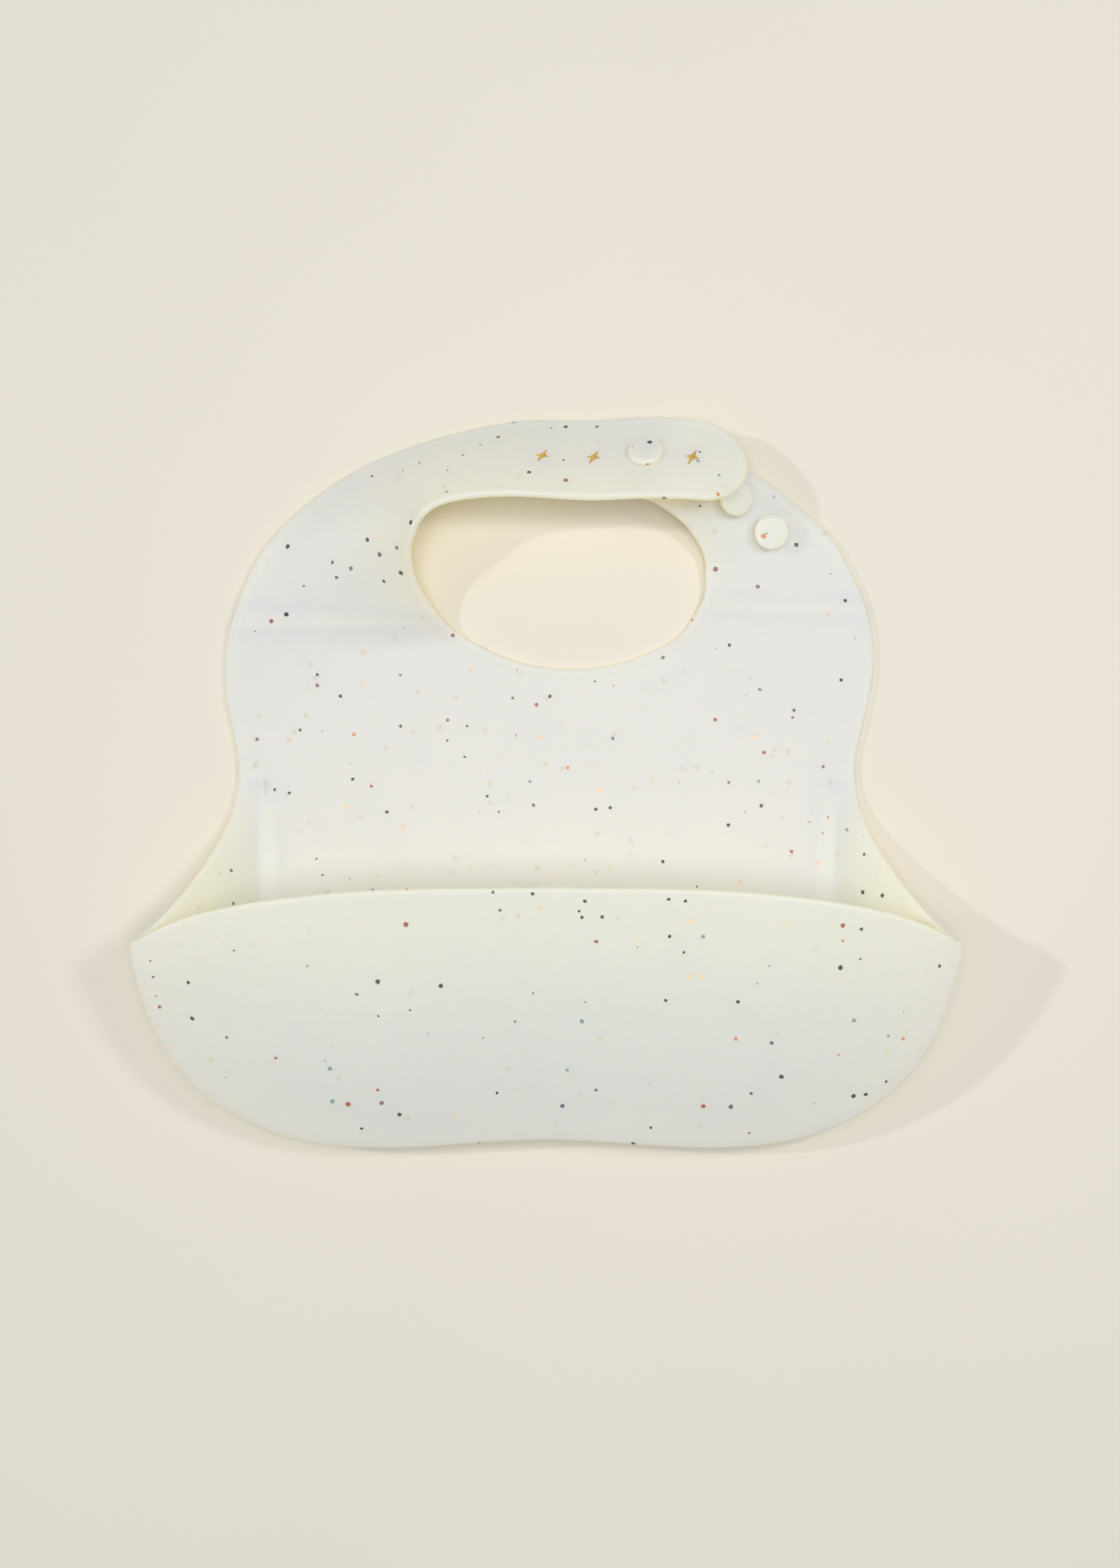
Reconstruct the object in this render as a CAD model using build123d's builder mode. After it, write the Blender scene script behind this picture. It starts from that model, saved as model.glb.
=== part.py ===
"""Silicone bib with a catch pocket, lying on its back with the neck strap buttoned.

Millimetres.  +X to the wearer's left, +Y towards the neck strap, +Z up from the table.
The origin lies on the flat back, on the middle line, 9 mm from the waist fold towards the pocket.
One soft moulding, divided into the zones that move against each other at its living hinges.
"""
from build123d import *
from math import atan, cos, radians, sin, sqrt
import os

# ---- Sheet -------------------------------------------------------------------------------
SHEET = 2.0                      # wall thickness everywhere
HINGE_GAP = 0.3                  # clearance between two zones that turn against each other

# ---- Chest and back ----------------------------------------------------------------------
FOLD_Y = 9.0                     # waist line where the chest folds over the pocket
WAIST_HALF = 91.0                # half width at the waist line
CREASE_X = 85.0                  # crease where a side wing leaves the back panel
CREASE_TOP_Y = -9.0              # upper end of that crease

# ---- Catch pocket ------------------------------------------------------------------------
MOUTH_END_Y = -20.0              # the pocket blanks run past the lip to here before trimming
POCKET_HALF = 117.0              # half width at the widest line
POCKET_END_Y = -102.3            # front end of the pocket
FOOT_END_Y = -91.5               # front end of the footprint on the table
# The lip in plan, from its right corner to the middle; the left half mirrors it.
LIP_HALF = [(114.5, -43.5), (106.0, -38.6), (96.0, -35.1), (CREASE_X, -32.7), (67.5, -30.2),
            (43.5, -28.3), (0.0, -27.7)]
LIP_CORNER = LIP_HALF[0]
LIP_FLARE = 11.0                 # beyond the corners the trim line runs on down by this
RIM_Z = 30.0                     # height of the widest line at the lip corners
RIM_SLOPE = 0.31                 # the widest line drops by this towards the front end
RIM_TILT = atan(RIM_SLOPE)
CROWN = 5.0                      # the roof stands this far above the widest line
CROWN_HALF = 66.0                # half width of the flat part of the roof
PARTING_DROP = 7.0               # hinge side wall ends this far below the widest line
LIP_SETBACK = 0.4                # wings stop this far short of the lip
WING_EDGE = [(106.5, -33.6), (99.0, -22.5), (92.6, -12.8)]
ROOF_SETBACK = 17.0              # flat part of the roof starts this far behind the front end
FRONT_SHARE = 0.43               # the gently curved front spans this share of the width
SIDE_SHARE = 0.93                # half width where an outline leaves the straight side
TURN_SHARE = 0.74                # half width where an outline turns into the front
MOUTH_STRAIGHT = 1.5             # the sides run straight to this far below the lip corners
# Each outline's depth share at the side and at the turn, and how far its front curves back.
FOOT_OUTLINE = (0.62, 0.87, 2.2)
RIM_OUTLINE = (0.52, 0.83, 2.3)
ROOF_OUTLINE = (0.56, 0.86, 1.5)
# Shares of the wall thickness by which the cavity's outlines are drawn in and moved in height.
FOOT_DRAW, FOOT_RISE = 0.5, 0.95
RIM_DRAW, RIM_DROP = 1.25, 0.4
ROOF_DRAW, ROOF_DROP = 0.5, 0.6

# ---- Neck ring: outer and neck edge of the sheet's middle at each section ------------------
LEFT_SECTIONS = [
    ((-95.1, 31.5, 1.0), (-20.9, 42.0, 1.0)),
    ((-92.8, 48.7, 1.7), (-30.5, 48.8, 5.5)),
    ((-82.3, 70.9, 2.0), (-37.9, 60.1, 15.0)),
    ((-61.9, 88.7, 2.2), (-38.1, 70.2, 23.0)),
    ((-39.1, 99.4, 2.6), (-31.1, 79.1, 27.0)),
    ((-10.7, 106.3, 3.0), (-13.0, 81.9, 28.0)),
    ((13.6, 106.5, 5.4), (11.5, 80.8, 28.0)),
    ((29.9, 107.0, 7.9), (26.6, 81.2, 28.1)),
    ((43.0, 105.5, 12.4), (41.5, 80.8, 28.4)),
    ((58.0, 103.0, 10.0), (57.0, 79.6, 24.0)),
]
RIGHT_SECTIONS = [
    ((96.5, 36.6, 1.0), (38.0, 43.7, 1.0)),
    ((94.5, 51.5, 1.2), (45.3, 54.0, 2.0)),
    ((89.0, 64.5, 1.3), (46.5, 62.5, 3.0)),
    ((81.5, 75.5, 1.6), (45.5, 68.5, 4.8)),
    ((66.5, 88.2, 2.2), (41.0, 75.0, 9.0)),
    ((49.5, 97.2, 4.2), (34.0, 79.6, 16.5)),
    ((30.5, 102.5, 6.5), (26.9, 81.7, 24.5)),
    ((18.6, 101.8, 4.0), (17.3, 80.8, 22.0)),
]
UNBUTTON_PLACE = 4.3             # left section number where the buttonhole strap turns
LOOP_Y = 61.0                    # line across both shoulders where the neck loop lifts
STUD_PLACES = [6.0, 5.06, 4.16, 3.18]
STUD_SHIFTS = [0.0, 0.4, 1.4, 2.7]   # from the middle of the strap towards its outer edge
STUD_LEANS = [1.0, 0.5]          # studs 1 and 2 lean this share of the way to the strap above them
HOLE_PLACES = [5.42, 6.05, 7.0, 7.95]

# ---- Studs and buttonholes -----------------------------------------------------------------
STUD_NECK_RADIUS = 2.0
STUD_NECK_LENGTH = 3.5
STUD_CAP_RADIUS = 5.0
STUD_CAP_THICKNESS = 1.9
STUD_CAP_ROUND = 0.9
STUD_SINK = 0.5                  # the neck is drawn from below the strap face, then trimmed to it
SLIT_TIP_RADIUS = 2.1
SLIT_WAIST_RADIUS = 0.75
SLIT_TURN = -25.0                # degrees that a star slit is turned in its strap
BUTTONED_HOLE = 3                # the third hole from the shoulder holds stud 1
WEB_RADIUS = 5.8                 # the soft web that stretches over a stud's cap
WEB_HOLE_RADIUS = 2.4
TIP_ROUND = 13.6                 # radius of the buttonhole strap's round end


def middle(section):
    """Middle of a section's chord."""
    outer, neck = Vector(*section[0]), Vector(*section[1])
    return (outer + neck) * 0.5


def chord(section):
    """Unit vector from the outer edge to the neck edge."""
    return (Vector(*section[1]) - Vector(*section[0])).normalized()


def section_planes(sections, first_run=None):
    """One plane per section: x along the chord, z along the strap."""
    mids = [middle(section) for section in sections]
    planes = []
    for index, section in enumerate(sections):
        before = mids[max(index - 1, 0)]
        after = mids[min(index + 1, len(mids) - 1)]
        run = after - before
        if index == 0 and first_run is not None:
            run = Vector(*first_run)
        across = chord(section)
        along = (run - across * run.dot(across)).normalized()
        planes.append(Plane(origin=mids[index], x_dir=across, z_dir=along))
    return planes


def sheet_normal(plane):
    """Outward side of the sheet at a section plane."""
    normal = plane.z_dir.cross(plane.x_dir).normalized()
    return normal if normal.Z > 0 else normal * -1


def chord_length(section):
    return (Vector(*section[1]) - Vector(*section[0])).length


def hinge_plane(seat, axis):
    """Plane across a sheet at a hinge: x along the hinge line, z along the strap."""
    across = axis.normalized()
    along = across.cross(seat.z_dir).normalized()
    if along.dot(seat.x_dir) < 0:
        along = along * -1
    return Plane(origin=seat.origin, x_dir=across, z_dir=along)


def point_on_sheet(sections, place, shift=0.0):
    """Middle of the sheet at a fractional section number, shifted towards its outer edge."""
    low = min(int(place), len(sections) - 2)
    share = place - low
    across = chord(sections[low]) * (1 - share) + chord(sections[low + 1]) * share
    spot = middle(sections[low]) * (1 - share) + middle(sections[low + 1]) * share
    return spot - across.normalized() * shift


def frame_on_sheet(planes, sections, place, shift=0.0):
    """Plane lying in the sheet at a fractional section number, z pointing outwards."""
    low = min(int(place), len(planes) - 2)
    share = place - low
    along = planes[low].z_dir * (1 - share) + planes[low + 1].z_dir * share
    along = along.normalized()
    normal = sheet_normal(planes[low]) * (1 - share) + sheet_normal(planes[low + 1]) * share
    normal = (normal - along * normal.dot(along)).normalized()
    return Plane(origin=point_on_sheet(sections, place, shift), x_dir=along, z_dir=normal)


# The two section stacks, each starting square to the chest panel's edge.
left_planes = section_planes(LEFT_SECTIONS, (-0.14, 0.99, 0.0))
right_planes = section_planes(RIGHT_SECTIONS, (0.12, 0.99, 0.0))
hole_frames = [frame_on_sheet(left_planes, LEFT_SECTIONS, place) for place in HOLE_PLACES]
stud_frames = []
for number, (place, shift) in enumerate(zip(STUD_PLACES, STUD_SHIFTS)):
    seat = frame_on_sheet(right_planes, RIGHT_SECTIONS, place, shift)
    covering = hole_frames[BUTTONED_HOLE - 1 + number] if number < len(STUD_LEANS) else seat
    lean = STUD_LEANS[number] if number < len(STUD_LEANS) else 0
    square = (seat.z_dir * (1 - lean) + covering.z_dir * lean).normalized()
    stud_frames.append(Plane(origin=seat.origin, x_dir=seat.x_dir - square * seat.x_dir.dot(square),
                             z_dir=square))

tip_frame = frame_on_sheet(left_planes, LEFT_SECTIONS, len(LEFT_SECTIONS) - 1.0)

# The buttonhole strap turns so that it leaves stud 1 along the stud's own axis.
unbutton_seat = frame_on_sheet(left_planes, LEFT_SECTIONS, UNBUTTON_PLACE)
unbutton_axis = (stud_frames[0].origin - unbutton_seat.origin).cross(stud_frames[0].z_dir)
unbutton_cut = hinge_plane(unbutton_seat, unbutton_axis)
loop_cut = Plane((0, LOOP_Y, 0), x_dir=(1, 0, 0), z_dir=(0, 1, 0))


# ---- Back panel, flat on the table ---------------------------------------------------------
with BuildPart() as back_panel:
    with BuildSketch():
        with BuildLine():
            Polyline((-CREASE_X, -46), (-CREASE_X, CREASE_TOP_Y), (-WAIST_HALF, 0),
                     (-WAIST_HALF, FOLD_Y), (WAIST_HALF, FOLD_Y), (WAIST_HALF, 0),
                     (CREASE_X, CREASE_TOP_Y), (CREASE_X, -46))
            Spline((CREASE_X, -46), (76, -75), (58, -88), (42, FOOT_END_Y),
                   tangents=[(0, -1), (-1, -0.05)])
            ThreePointArc((42, FOOT_END_Y), (0, FOOT_END_Y + 2.2), (-42, FOOT_END_Y))
            Spline((-42, FOOT_END_Y), (-58, -88), (-76, -75), (-CREASE_X, -46),
                   tangents=[(-1, 0.05), (0, 1)])
        make_face()
    extrude(amount=SHEET)
back_panel.part.label = "back_panel"


# ---- Chest panel, flat from the waist to the bottom of the neck opening ----------------------
with BuildPart() as chest_panel:
    left_outer, left_neck = LEFT_SECTIONS[0]
    right_outer, right_neck = RIGHT_SECTIONS[0]
    with BuildSketch():
        with BuildLine():
            ThreePointArc((-WAIST_HALF, FOLD_Y + HINGE_GAP), (-93.0, 18.0), left_outer[:2])
            Line(left_outer[:2], left_neck[:2])
            ThreePointArc(left_neck[:2], (8.0, 34.6), right_neck[:2])
            Line(right_neck[:2], right_outer[:2])
            ThreePointArc(right_outer[:2], (94.0, 21.0), (WAIST_HALF, FOLD_Y + HINGE_GAP))
            Line((WAIST_HALF, FOLD_Y + HINGE_GAP), (-WAIST_HALF, FOLD_Y + HINGE_GAP))
        make_face()
    extrude(amount=SHEET)
chest_panel.part.label = "chest_panel"


# ---- Neck ring: two cone-shaped sheets that rise towards the neck and run out as straps ---------
with BuildPart() as left_sheet:
    for section, plane in zip(LEFT_SECTIONS, left_planes):
        with BuildSketch(plane):
            Rectangle(chord_length(section), SHEET)
    loft()
    with BuildSketch(tip_frame.offset(-8 * SHEET)):
        Rectangle(2 * TIP_ROUND, 4 * TIP_ROUND)
        with Locations((-TIP_ROUND, 0)):
            Circle(TIP_ROUND, mode=Mode.SUBTRACT)
    extrude(amount=16 * SHEET, mode=Mode.SUBTRACT)

with BuildPart() as right_sheet:
    for section, plane in zip(RIGHT_SECTIONS, right_planes):
        with BuildSketch(plane):
            Rectangle(chord_length(section), SHEET)
    loft()

with BuildPart() as shoulder_left:
    add(left_sheet.part)
    split(bisect_by=loop_cut, keep=Keep.BOTTOM)
    split(bisect_by=Plane.XY, keep=Keep.TOP)
shoulder_left.part.label = "shoulder_left"

with BuildPart() as shoulder_right:
    add(right_sheet.part)
    split(bisect_by=loop_cut, keep=Keep.BOTTOM)
    split(bisect_by=Plane.XY, keep=Keep.TOP)
shoulder_right.part.label = "shoulder_right"

with BuildPart() as neck_band:
    add(left_sheet.part)
    split(bisect_by=loop_cut.offset(HINGE_GAP), keep=Keep.TOP)
    split(bisect_by=unbutton_cut, keep=Keep.BOTTOM)
    split(bisect_by=Plane.XY, keep=Keep.TOP)
neck_band.part.label = "neck_band"


# ---- Catch pocket: a hull that leans outwards from the table, under a crowned roof -----------
def sloping_plane(height):
    """Plane parallel to the pocket's widest line, at this height over the lip corners."""
    return Plane((0, LIP_CORNER[1], height), x_dir=(1, 0, 0), z_dir=(0, -sin(RIM_TILT), cos(RIM_TILT)))


def pocket_blank(inset):
    """Closed blank of the pocket, drawn in by inset all round; its mouth runs past the lip."""
    stretch = 1 / cos(RIM_TILT)
    rim_y = LIP_CORNER[1]
    rim_plane = sloping_plane(RIM_Z - RIM_DROP * inset)
    roof_plane = rim_plane.offset((CROWN - ROOF_DROP * inset) * cos(RIM_TILT))
    foot_half = CREASE_X - FOOT_DRAW * inset
    foot_end = FOOT_END_Y + FOOT_DRAW * inset
    rim_half = POCKET_HALF - RIM_DRAW * inset
    rim_end = POCKET_END_Y + RIM_DRAW * inset
    roof_half = CROWN_HALF - ROOF_DRAW * inset

    def outline(half, end, shape, squash):
        """U-shaped outline, closed across the mouth; y is measured on a plane through rim_y."""
        side_depth, turn_depth, wave = shape
        top = (MOUTH_END_Y - rim_y) * squash
        low = (end - rim_y) * squash
        flat = FRONT_SHARE * half
        side = (SIDE_SHARE * half, low * side_depth)
        turn = (TURN_SHARE * half, low * turn_depth)
        Line((half, top), (half, -MOUTH_STRAIGHT))
        Spline((half, -MOUTH_STRAIGHT), side, turn, (flat, low), tangents=[(0, -1), (-1, -0.08)])
        ThreePointArc((flat, low), (0, low + wave), (-flat, low))
        Spline((-flat, low), (-turn[0], turn[1]), (-side[0], side[1]), (-half, -MOUTH_STRAIGHT),
               tangents=[(-1, 0.08), (0, 1)])
        Line((-half, -MOUTH_STRAIGHT), (-half, top))
        Line((-half, top), (half, top))

    with BuildPart(mode=Mode.PRIVATE) as blank:
        with BuildSketch(Plane((0, rim_y, FOOT_RISE * inset))):
            with BuildLine():
                outline(foot_half, foot_end, FOOT_OUTLINE, 1.0)
            make_face()
        with BuildSketch(rim_plane):
            with BuildLine():
                outline(rim_half, rim_end, RIM_OUTLINE, stretch)
            make_face()
        loft(ruled=True)
        with BuildSketch(rim_plane):
            with BuildLine():
                outline(rim_half, rim_end, RIM_OUTLINE, stretch)
            make_face()
        with BuildSketch(roof_plane):
            with BuildLine():
                outline(roof_half, POCKET_END_Y + ROOF_SETBACK, ROOF_OUTLINE, stretch)
            make_face()
        loft(ruled=True)
    return blank.part


# Everything on the pocket's side of the lip, taller and wider than the pocket itself.
with BuildPart() as lip_side:
    corner_x, corner_y = LIP_CORNER
    far_x, far_y = POCKET_HALF + 3 * LIP_FLARE, POCKET_END_Y - 2 * LIP_FLARE
    with BuildSketch(Plane.XY.offset(-RIM_Z)):
        with BuildLine():
            Spline(*LIP_HALF, *[(-x, y) for x, y in LIP_HALF[-2::-1]])
            Polyline((-corner_x, corner_y), (-far_x, corner_y - LIP_FLARE), (-far_x, far_y),
                     (far_x, far_y), (far_x, corner_y - LIP_FLARE), (corner_x, corner_y))
        make_face()
    extrude(amount=3 * RIM_Z)

outer_blank = pocket_blank(0)
inner_blank = pocket_blank(SHEET)
parting_plane = sloping_plane(RIM_Z - PARTING_DROP)

with BuildPart() as pocket_front:
    add(outer_blank)
    add(inner_blank, mode=Mode.SUBTRACT)
    add(lip_side.part, mode=Mode.INTERSECT)
    split(bisect_by=parting_plane, keep=Keep.TOP)
pocket_front.part.label = "pocket_front"

with BuildPart() as pocket_side_wall:
    add(outer_blank)
    add(inner_blank, mode=Mode.SUBTRACT)
    add(lip_side.part, mode=Mode.INTERSECT)
    split(bisect_by=parting_plane.offset(-HINGE_GAP), keep=Keep.BOTTOM)
    add(back_panel.part, mode=Mode.SUBTRACT)
pocket_side_wall.part.label = "pocket_side_wall"


# ---- Side wings: flat gussets that rise at 45 degrees from the crease to the lip corners -------
def wing(side):
    """Wing on the side given by the sign of x."""
    slope = Plane((side * CREASE_X, 0, 0), x_dir=(side, 0, 1), z_dir=(-side, 0, 1))

    def at(x, y):
        """Point of the wing from its plan position."""
        return ((x - CREASE_X) * sqrt(2), y * side)

    tip = at(LIP_CORNER[0], LIP_CORNER[1] + LIP_SETBACK)
    upper_edge = [at(x, y) for x, y in WING_EDGE]
    top_of_crease = at(CREASE_X, CREASE_TOP_Y)
    with BuildPart(mode=Mode.PRIVATE) as gusset:
        with BuildSketch(slope):
            with BuildLine():
                Spline(tip, *upper_edge, top_of_crease)
                Polyline(top_of_crease, at(CREASE_X, LIP_CORNER[1]), tip)
            make_face()
        extrude(amount=SHEET)
        add(lip_side.part.moved(Location((0, LIP_SETBACK, 0))), mode=Mode.SUBTRACT)
        if side > 0:
            split(bisect_by=Plane.YZ.offset(CREASE_X), keep=Keep.TOP)
        else:
            split(bisect_by=Plane.YZ.offset(-CREASE_X), keep=Keep.BOTTOM)
    return gusset.part


with BuildPart() as wing_left:
    add(wing(-1))
wing_left.part.label = "wing_left"

with BuildPart() as wing_right:
    add(wing(1))
wing_right.part.label = "wing_right"


# ---- Straps ----------------------------------------------------------------------------------
def star(turn):
    """Four-pointed slit, drawn in the current sketch."""
    points = []
    for step in range(8):
        reach = SLIT_TIP_RADIUS if step % 2 == 0 else SLIT_WAIST_RADIUS
        angle = radians(45 * step + turn)
        points.append((reach * cos(angle), reach * sin(angle)))
    Polygon(*points, align=None)


with BuildPart() as hole_strap:
    add(left_sheet.part)
    split(bisect_by=unbutton_cut.offset(HINGE_GAP), keep=Keep.TOP)
    for number, frame in enumerate(hole_frames, start=1):
        if number == BUTTONED_HOLE:
            with BuildSketch(stud_frames[0].offset(-SHEET)):
                Circle(WEB_RADIUS)
            extrude(amount=6 * SHEET, mode=Mode.SUBTRACT)
        else:
            with BuildSketch(frame.offset(-2 * SHEET)):
                star(SLIT_TURN)
            extrude(amount=4 * SHEET, mode=Mode.SUBTRACT)
hole_strap.part.label = "hole_strap"

with BuildPart() as buttonhole_web:
    add(left_sheet.part)
    with BuildSketch(stud_frames[0].offset(-SHEET)):
        Circle(WEB_RADIUS - 0.05)
        Circle(WEB_HOLE_RADIUS, mode=Mode.SUBTRACT)
    extrude(amount=6 * SHEET, mode=Mode.INTERSECT)
buttonhole_web.part.label = "buttonhole_web"

with BuildPart() as stud_strap:
    add(right_sheet.part)
    split(bisect_by=loop_cut.offset(HINGE_GAP), keep=Keep.TOP)
    split(bisect_by=Plane.XY, keep=Keep.TOP)
stud_strap.part.label = "stud_strap"


# ---- Studs: mushroom buttons standing square to the strap ---------------------------------------
studs = []
for number, frame in enumerate(stud_frames, start=1):
    seat = frame.offset(SHEET / 2)
    with BuildPart() as one_stud:
        with BuildSketch(seat.offset(-STUD_SINK)):
            Circle(STUD_NECK_RADIUS)
        extrude(amount=STUD_NECK_LENGTH + STUD_SINK)
        add(right_sheet.part, mode=Mode.SUBTRACT)
        with BuildSketch(seat.offset(STUD_NECK_LENGTH)):
            Circle(STUD_CAP_RADIUS)
        extrude(amount=STUD_CAP_THICKNESS)
        cap_edges = one_stud.edges().filter_by(GeomType.CIRCLE).sort_by(SortBy.LENGTH)[-2:]
        fillet(cap_edges, radius=STUD_CAP_ROUND)
    one_stud.part.label = f"stud_{number}"
    studs.append(one_stud)


# ---- Write one file per zone --------------------------------------------------------------------
pieces = [back_panel, pocket_side_wall, wing_left, wing_right, pocket_front, chest_panel,
          shoulder_left, shoulder_right, neck_band, hole_strap, buttonhole_web, stud_strap] + studs
os.makedirs("parts", exist_ok=True)
for piece in pieces:
    export_step(piece.part, f"parts/{piece.part.label}.step")
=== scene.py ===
"""Looks of the speckled silicone bib, lying buttoned on a pale table.

Every zone of the sheet is drawn as a middle surface in millimetres, which is then thickened:
its faces round off and carry a bead at the free edges, and sink slightly where two pieces overlap.
"""
from math import atan2, cos, pi, radians, sin, sqrt

import bmesh
import bpy
import numpy as np
from mathutils import Matrix, Vector


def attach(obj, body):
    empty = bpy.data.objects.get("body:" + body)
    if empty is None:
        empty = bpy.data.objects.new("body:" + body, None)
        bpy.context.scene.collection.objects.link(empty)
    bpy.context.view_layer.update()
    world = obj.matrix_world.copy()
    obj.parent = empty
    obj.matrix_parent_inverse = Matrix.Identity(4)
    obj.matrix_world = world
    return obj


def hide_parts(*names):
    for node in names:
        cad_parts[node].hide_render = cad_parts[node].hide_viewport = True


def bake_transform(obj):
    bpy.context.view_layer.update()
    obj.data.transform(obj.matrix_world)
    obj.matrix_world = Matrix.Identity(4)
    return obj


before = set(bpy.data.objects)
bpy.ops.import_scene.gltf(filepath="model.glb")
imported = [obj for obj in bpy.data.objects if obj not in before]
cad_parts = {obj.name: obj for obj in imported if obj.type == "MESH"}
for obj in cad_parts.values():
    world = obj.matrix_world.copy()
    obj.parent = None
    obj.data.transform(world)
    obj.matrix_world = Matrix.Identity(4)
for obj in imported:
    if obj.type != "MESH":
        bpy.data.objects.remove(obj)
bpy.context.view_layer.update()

MM = 0.001

# ---- Sheet (millimetres) -------------------------------------------------------------------
HALF = 1.0                       # half the sheet's thickness, and its height over the table
EDGE_ROUND = 1.0                 # the free edges round off over this width
BEAD_WIDTH = 2.3                 # bead along the free edges of the neck ring and the chest
BEAD_FALL = 0.9
BEAD_HEIGHT = 0.18
TUCK = 0.03                      # two pieces sink by this where they overlap
TUCK_RAMP = 4.0
EDGE_STEPS = (0.0, 0.12, 0.35, 0.7, 1.1, 1.6, 2.1, 2.5, 2.9, 3.3, 3.8)

# ---- Chest and back ------------------------------------------------------------------------
WAIST_Y = 2.0                    # the chest spans the full width from here up
WAIST_HALF = 91.0
BACK_HALF = 85.0                 # half width of the back inside the pocket
CREASE_X = 85.0                  # fold between the back and the wings
NECK_BOTTOM = (8.0, 34.6)
NECK_STEPS = 48
LEFT_SIDE = [(-91.3, 9.0), (-93.0, 18.0), (-94.6, 25.5)]     # sides from the waist to the shoulders
RIGHT_SIDE = [(91.3, 9.0), (94.0, 21.0), (95.7, 29.0)]
SIDE_LEAD = (91.0, -4.0)
CHEST_DEPTH = 30.0               # rows close together at the neck are spread over this length
CHEST_ROWS = 80
BACK_ROWS = 60

# ---- Neck ring: outer and neck edge at each section, from the chest to the strap ends ----------
LEFT_SECTIONS = [
    ((-95.1, 31.5, 1.0), (-20.9, 42.0, 1.0)),
    ((-92.8, 48.7, 1.7), (-30.5, 48.8, 4.4)),
    ((-82.3, 70.9, 2.0), (-37.9, 60.1, 13.0)),
    ((-61.9, 88.7, 2.2), (-38.1, 70.2, 22.0)),
    ((-39.1, 99.4, 2.6), (-31.1, 79.1, 27.0)),
    ((-10.7, 106.3, 3.0), (-13.0, 81.9, 28.0)),
    ((13.6, 106.5, 5.4), (11.5, 80.8, 28.0)),
    ((29.9, 107.0, 7.9), (26.6, 81.2, 28.1)),
    ((43.0, 105.5, 12.4), (41.5, 80.8, 28.4)),
    ((58.0, 103.0, 10.0), (57.0, 79.6, 24.0)),
]
LEFT_LEAD = ((-93.0, 18.0, 1.7), (-8.5, 36.6, 5.0))
RIGHT_SECTIONS = [
    ((96.5, 36.6, 1.0), (38.0, 43.7, 1.0)),
    ((94.5, 51.5, 1.2), (45.3, 54.0, 2.0)),
    ((89.0, 64.5, 1.3), (46.5, 62.5, 3.0)),
    ((81.5, 75.5, 1.6), (45.5, 68.5, 4.8)),
    ((66.5, 88.2, 2.2), (41.0, 75.0, 9.0)),
    ((49.5, 97.2, 4.2), (34.0, 79.6, 16.5)),
    ((30.5, 102.5, 6.5), (26.9, 81.7, 24.5)),
    ((18.6, 101.8, 4.0), (17.3, 80.8, 22.0)),
]
RIGHT_LEAD = ((94.0, 21.0, 1.2), (27.0, 37.6, 2.0))
SHOULDER_SEAM = (0.85, 1.15)     # section numbers between which chest and neck ring overlap
STRAP_SEAM = (3.3, 3.6)          # and where the neck band and the buttonhole strap overlap

# ---- Studs and buttonholes -------------------------------------------------------------------
STUD_PLACES = (6.0, 5.06, 4.16, 3.18)
STUD_SHIFTS = (0.0, 0.4, 1.4, 2.7)   # from the middle of the strap towards its outer edge
STUD_LEANS = (1.0, 0.5, 0.0, 0.0)    # how far the axis turns to that of the strap above
STUD_OUTLINE = [(2.5, -0.25), (2.25, 0.1), (2.05, 0.6), (2.0, 1.2), (2.0, 2.9), (2.15, 3.35),
                (2.6, 3.5), (3.9, 3.52), (4.55, 3.62), (4.92, 3.95), (5.05, 4.4), (5.0, 4.85),
                (4.75, 5.2), (4.3, 5.38), (3.4, 5.44), (2.0, 5.47), (0.0, 5.48)]
HOLE_PLACES = (5.42, 6.05, 7.0, 7.95)
BUTTONED_HOLE = 3
SLIT_ARMS = ((-8.0, 2.8), (68.0, 3.9), (172.0, 2.8), (248.0, 3.9))   # direction and reach
SLIT_WAIST = 1.0
SLIT_NARROWS = 0.45              # a slit's size on the underside of the strap
SLIT_REACH_OUT = 1.6             # the cutter's height over and under the middle surface
SLIT_ROUND = 0.28
STRETCHED_REACH = 3.0
STRETCHED_WAIST = 2.15

# ---- Catch pocket and its side wings -----------------------------------------------------------
WING_EDGE = [(91.0, 7.0, 1.0), (91.0, 2.0, 1.0), (91.6, -5.0, 2.4), (93.6, -12.7, 6.0),
             (98.6, -22.5, 12.0), (105.9, -33.7, 20.7), (112.4, -40.5, 26.8)]
WING_CREASE = [(89.5, 7.0), (89.0, 2.0), (86.6, -5.0), (85.2, -12.7), (85.0, -22.5), (85.0, -33.7),
               (85.0, -40.5)]
LIP_CORNER = (116.0, -43.9, 30.0)
LIP = [LIP_CORNER[:2], (106.7, -38.8), (96.7, -35.2), (81.0, -32.0), (67.5, -30.2), (43.5, -28.3),
       (0.0, -27.7)]
RIM = [LIP_CORNER[:2], (114.2, -55.0), (110.5, -69.0), (104.5, -80.5), (95.0, -90.0), (82.0, -97.6),
       (66.0, -102.2), (43.0, -103.2), (20.0, -101.4), (0.0, -100.2)]
CORNER_STATIONS = (0.0, 3.0, 8.0)
RIM_STATIONS = 13                # further stations along each half of the rim and the lip
RIM_SLOPE = 0.31
RIM_PUSH = 1.2                   # subdivision draws the rim in by about this much
CROWN = 5.0
CROWN_REACH = 36.0
FOOT_SHARE = 0.816               # the wall's foot is drawn in towards the lip corners by this
FOOT_INSET = 0.4                 # the back sheet ends this far inside the foot
FOOT_CENTRE = (0.0, -50.0)
WALL_SHARES = (0.06, 0.30, 0.62, 0.86, 0.955, 1.0)
ROOF_SHARES = (0.10, 0.26, 0.52, 0.80, 0.955, 1.0)
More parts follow.
